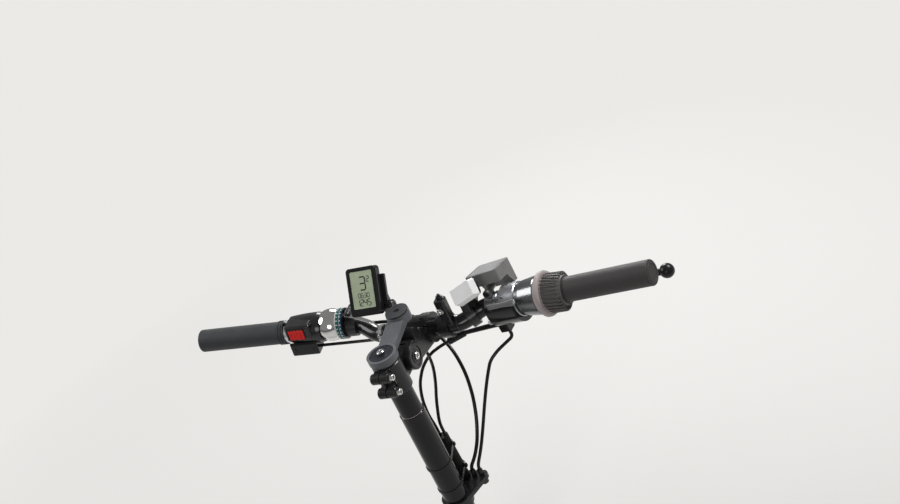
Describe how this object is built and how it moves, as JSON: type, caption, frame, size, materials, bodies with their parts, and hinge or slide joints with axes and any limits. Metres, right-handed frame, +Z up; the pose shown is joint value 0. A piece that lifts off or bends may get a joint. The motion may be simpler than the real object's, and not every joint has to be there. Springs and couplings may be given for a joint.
{
  "type": "cycle rickshaw handlebar and steering head",
  "caption": "Handlebar with grips, brake levers, twist shifter, switches, bell and display, on an angled stem and steering column that turns in a head tube.",
  "frame": {"origin": "middle of the head tube, on the steering axis", "axes": "+Z up the steering axis, +Y the way the vehicle drives, +X to the rider's right"},
  "size_m": [0.6864, 0.1996, 0.5339],
  "materials": {
    "frame_paint": "gloss white paint",
    "black_anodised": "black anodised satin",
    "bright_steel": "bright zinc",
    "stem_black": "black anodised satin",
    "stem_grey": "dark grey satin",
    "cap_grey": "textured dark grey",
    "bar_black": "satin black",
    "rubber_black": "matt",
    "rubber_grey": "matt dark grey",
    "polished_alloy": "polished",
    "housing_plastic": "satin moulded",
    "gloss_plastic": "gloss black",
    "red_plastic": "red moulded",
    "chrome": "polished chrome",
    "bell_band": "dark teal bands",
    "shifter_alloy": "satin",
    "perch_black": "satin black",
    "lever_black": "satin black",
    "lcd_glass": "grey-green liquid crystal under clear plastic",
    "silver_satin": "silver satin",
    "lamp_grey": "textured dark grey",
    "cable_black": "black casing"
  },
  "bodies": {
    "head": {"head_tube": "frame_paint", "lower_cup": "black_anodised", "upper_cup": "black_anodised"},
    "steering": {"accessory_clamp": "perch_black", "across_shift_cable": "cable_black", "bar_clamp_cap": "stem_black", "bell_body": "chrome", "bell_ring": "bell_band", "brace_arm": "stem_grey", "cable_box": "perch_black", "cable_stop": "black_anodised", "cover_base": "perch_black", "crown_race": "bright_steel", "display_case": "gloss_plastic", "display_glass": "lcd_glass", "display_mount": "perch_black", "down_shift_cable": "cable_black", "front_cap": "cap_grey", "handlebar": "bar_black", "headset_cover": "black_anodised", "lamp_body": "lamp_grey", "left_adjuster": "bright_steel", "left_brake_cable": "cable_black", "left_collar": "polished_alloy", "left_grip": "rubber_black", "left_lever": "lever_black", "left_perch": "perch_black", "lower_column": "black_anodised", "pinch_bolts": "bright_steel", "pivot_bolt": "bright_steel", "rear_cap": "cap_grey", "right_grip": "rubber_black", "right_lever": "lever_black", "right_perch": "perch_black", "rocker": "red_plastic", "shifter_arm": "gloss_plastic", "shifter_barrel": "gloss_plastic", "shifter_clamp": "shifter_alloy", "shifter_housing": "gloss_plastic", "silver_cover": "silver_satin", "steerer_clamp": "stem_black", "stem_extension": "stem_black", "switch_housing": "housing_plastic", "switch_pod": "gloss_plastic", "switch_wire": "cable_black", "twist_grip": "rubber_grey", "upper_column": "black_anodised", "wiring_sleeve": "cable_black"}
  },
  "joints": [
    {"name": "steering_hinge", "type": "hinge", "parent": "head", "child": "steering", "pos_m": [0, 0, 0], "axis": [0, 0, 1], "range_deg": [-55, 55]}
  ]
}
